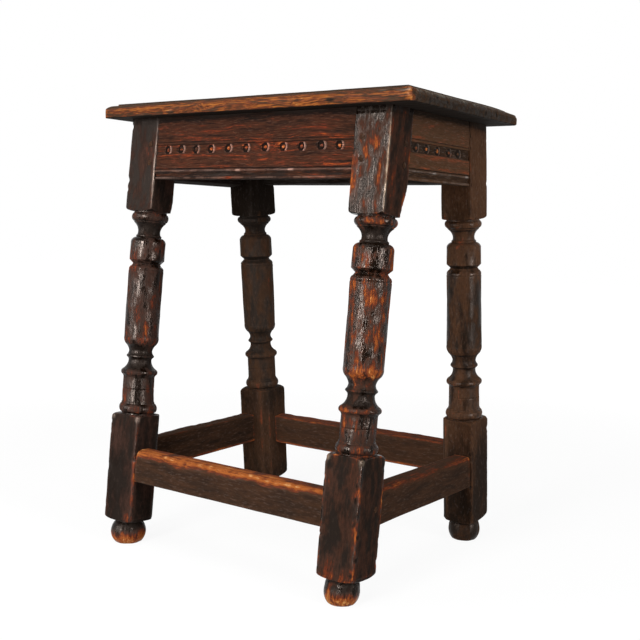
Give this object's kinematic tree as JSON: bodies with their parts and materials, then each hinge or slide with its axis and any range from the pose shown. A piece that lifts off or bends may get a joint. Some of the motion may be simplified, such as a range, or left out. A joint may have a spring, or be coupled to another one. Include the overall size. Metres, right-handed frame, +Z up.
{
  "type": "joint stool",
  "caption": "Joint stool with a rectangular moulded seat board on splayed turned legs, tied by carved and moulded rails and low plain stretchers, all pegged mortise and tenon.",
  "frame": {"origin": "on the floor under the middle of the stool", "axes": "+Z up; +X along the seat's length towards the right-hand end; -Y towards the front, the carved long side seen in the picture"},
  "size_m": [0.451, 0.328, 0.555],
  "materials": {
    "board_oak": "old waxed oak, rubbed orange-brown along its edges",
    "leg_oak": "old waxed oak, dark with rubbed red-brown highs",
    "rail_oak": "old waxed oak, dark red-brown",
    "stretcher_oak": "old waxed oak, dark, worn bright along the top arris",
    "peg_oak": "old oak end grain, dark"
  },
  "bodies": {
    "root": {"seat_board": "board_oak", "leg_front_right": "leg_oak", "leg_front_left": "leg_oak", "leg_rear_right": "leg_oak", "leg_rear_left": "leg_oak", "rail_front": "rail_oak", "rail_rear": "rail_oak", "rail_right": "rail_oak", "rail_left": "rail_oak", "stretcher_front": "stretcher_oak", "stretcher_rear": "stretcher_oak", "stretcher_right": "stretcher_oak", "stretcher_left": "stretcher_oak", "front_rail_pegs_right": "peg_oak", "right_rail_pegs_front": "peg_oak", "front_stretcher_peg_right": "peg_oak", "right_stretcher_peg_front": "peg_oak", "seat_peg_front_right": "peg_oak", "front_rail_pegs_left": "peg_oak", "left_rail_pegs_front": "peg_oak", "front_stretcher_peg_left": "peg_oak", "left_stretcher_peg_front": "peg_oak", "seat_peg_front_left": "peg_oak", "rear_rail_pegs_right": "peg_oak", "right_rail_pegs_rear": "peg_oak", "rear_stretcher_peg_right": "peg_oak", "right_stretcher_peg_rear": "peg_oak", "seat_peg_rear_right": "peg_oak", "rear_rail_pegs_left": "peg_oak", "left_rail_pegs_rear": "peg_oak", "rear_stretcher_peg_left": "peg_oak", "left_stretcher_peg_rear": "peg_oak", "seat_peg_rear_left": "peg_oak"}
  },
  "joints": []
}
